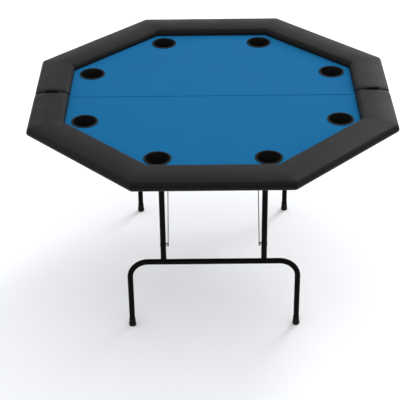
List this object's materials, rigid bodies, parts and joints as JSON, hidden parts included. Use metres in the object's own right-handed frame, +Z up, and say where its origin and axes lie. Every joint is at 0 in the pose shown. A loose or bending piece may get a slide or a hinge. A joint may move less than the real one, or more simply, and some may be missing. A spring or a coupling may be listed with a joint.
{
  "type": "folding poker table",
  "caption": "Octagonal folding poker table with a padded rail, blue felt, sunk cup holders and folding tubular legs; it closes in half felt to felt.",
  "frame": {"origin": "on the floor under the table's centre", "axes": "+X along the fold line to the right, -Y towards the front half, +Z up"},
  "size_m": [1.219, 1.219, 0.7271],
  "materials": {
    "rail_vinyl": "soft grained black vinyl over foam",
    "felt": "short blue nap",
    "board": "black faced fibreboard",
    "rail_core_wood": "plain plywood",
    "cup_plastic": "satin black",
    "cap_rubber": "matt black",
    "leg_tube_paint": "black powder coat",
    "bracket_steel": "dark powder coat",
    "hinge_steel": "black",
    "fastener_steel": "zinc plated"
  },
  "bodies": {
    "front_half": {"front_board": "board", "front_brace_anchors": "bracket_steel", "front_bracket_screws": "fastener_steel", "front_cup_holder_1": "cup_plastic", "front_cup_holder_2": "cup_plastic", "front_cup_holder_3": "cup_plastic", "front_cup_holder_4": "cup_plastic", "front_felt": "felt", "front_hinge_leaves": "hinge_steel", "front_hinge_screws": "hinge_steel", "front_leg_brackets": "bracket_steel", "front_rail_cores": "rail_core_wood", "front_rail_pad_left_corner": "rail_vinyl", "front_rail_pad_left_end": "rail_vinyl", "front_rail_pad_middle": "rail_vinyl", "front_rail_pad_right_corner": "rail_vinyl", "front_rail_pad_right_end": "rail_vinyl", "hinge_pins": "hinge_steel"},
    "front_leg": {"front_brace_rivets": "fastener_steel", "front_foot_arch": "leg_tube_paint", "front_foot_cap_left": "cap_rubber", "front_foot_cap_right": "cap_rubber", "front_leg_pivot_bolts": "fastener_steel", "front_leg_upright_left": "leg_tube_paint", "front_leg_upright_right": "leg_tube_paint"},
    "front_lower_links": {"front_brace_lower_link_left": "bracket_steel", "front_brace_lower_link_right": "bracket_steel"},
    "front_upper_links": {"front_brace_upper_link_left": "bracket_steel", "front_brace_upper_link_right": "bracket_steel"},
    "rear_half": {"rear_board": "board", "rear_brace_anchors": "bracket_steel", "rear_bracket_screws": "fastener_steel", "rear_cup_holder_1": "cup_plastic", "rear_cup_holder_2": "cup_plastic", "rear_cup_holder_3": "cup_plastic", "rear_cup_holder_4": "cup_plastic", "rear_felt": "felt", "rear_hinge_leaves": "hinge_steel", "rear_hinge_screws": "hinge_steel", "rear_leg_brackets": "bracket_steel", "rear_rail_cores": "rail_core_wood", "rear_rail_pad_left_corner": "rail_vinyl", "rear_rail_pad_left_end": "rail_vinyl", "rear_rail_pad_middle": "rail_vinyl", "rear_rail_pad_right_corner": "rail_vinyl", "rear_rail_pad_right_end": "rail_vinyl"},
    "rear_leg": {"rear_brace_rivets": "fastener_steel", "rear_foot_arch": "leg_tube_paint", "rear_foot_cap_left": "cap_rubber", "rear_foot_cap_right": "cap_rubber", "rear_leg_pivot_bolts": "fastener_steel", "rear_leg_upright_left": "leg_tube_paint", "rear_leg_upright_right": "leg_tube_paint"},
    "rear_lower_links": {"rear_brace_lower_link_left": "bracket_steel", "rear_brace_lower_link_right": "bracket_steel"},
    "rear_upper_links": {"rear_brace_upper_link_left": "bracket_steel", "rear_brace_upper_link_right": "bracket_steel"}
  },
  "joints": [
    {"name": "fold", "type": "hinge", "parent": "front_half", "child": "rear_half", "pos_m": [0, 0, 0.7246], "axis": [1, 0, 0], "range_deg": [0, 180]},
    {"name": "front_leg_fold", "type": "hinge", "parent": "front_half", "child": "front_leg", "pos_m": [0, -0.3685, 0.6435], "axis": [1, 0, 0], "range_deg": [0, 90]},
    {"name": "front_upper_link_swing", "type": "hinge", "parent": "front_half", "child": "front_upper_links", "pos_m": [0, -0.1, 0.6435], "axis": [-1, 0, 0], "range_deg": [0, 49.11]},
    {"name": "front_lower_link_swing", "type": "hinge", "parent": "front_leg", "child": "front_lower_links", "pos_m": [0, -0.3685, 0.334], "axis": [1, 0, 0], "range_deg": [0, 40.99]},
    {"name": "rear_leg_fold", "type": "hinge", "parent": "rear_half", "child": "rear_leg", "pos_m": [0, 0.3685, 0.6435], "axis": [-1, 0, 0], "range_deg": [0, 86]},
    {"name": "rear_upper_link_swing", "type": "hinge", "parent": "rear_half", "child": "rear_upper_links", "pos_m": [0, 0.1, 0.6435], "axis": [1, 0, 0], "range_deg": [0, 46.93]},
    {"name": "rear_lower_link_swing", "type": "hinge", "parent": "rear_leg", "child": "rear_lower_links", "pos_m": [0, 0.3685, 0.334], "axis": [-1, 0, 0], "range_deg": [0, 39.17]}
  ],
  "couplings": [
    {"joint": "front_upper_link_swing", "follows": "front_leg_fold", "ratio": 0.54508},
    {"joint": "front_lower_link_swing", "follows": "front_leg_fold", "ratio": 0.45492},
    {"joint": "rear_upper_link_swing", "follows": "rear_leg_fold", "ratio": 0.54508},
    {"joint": "rear_lower_link_swing", "follows": "rear_leg_fold", "ratio": 0.45492}
  ]
}
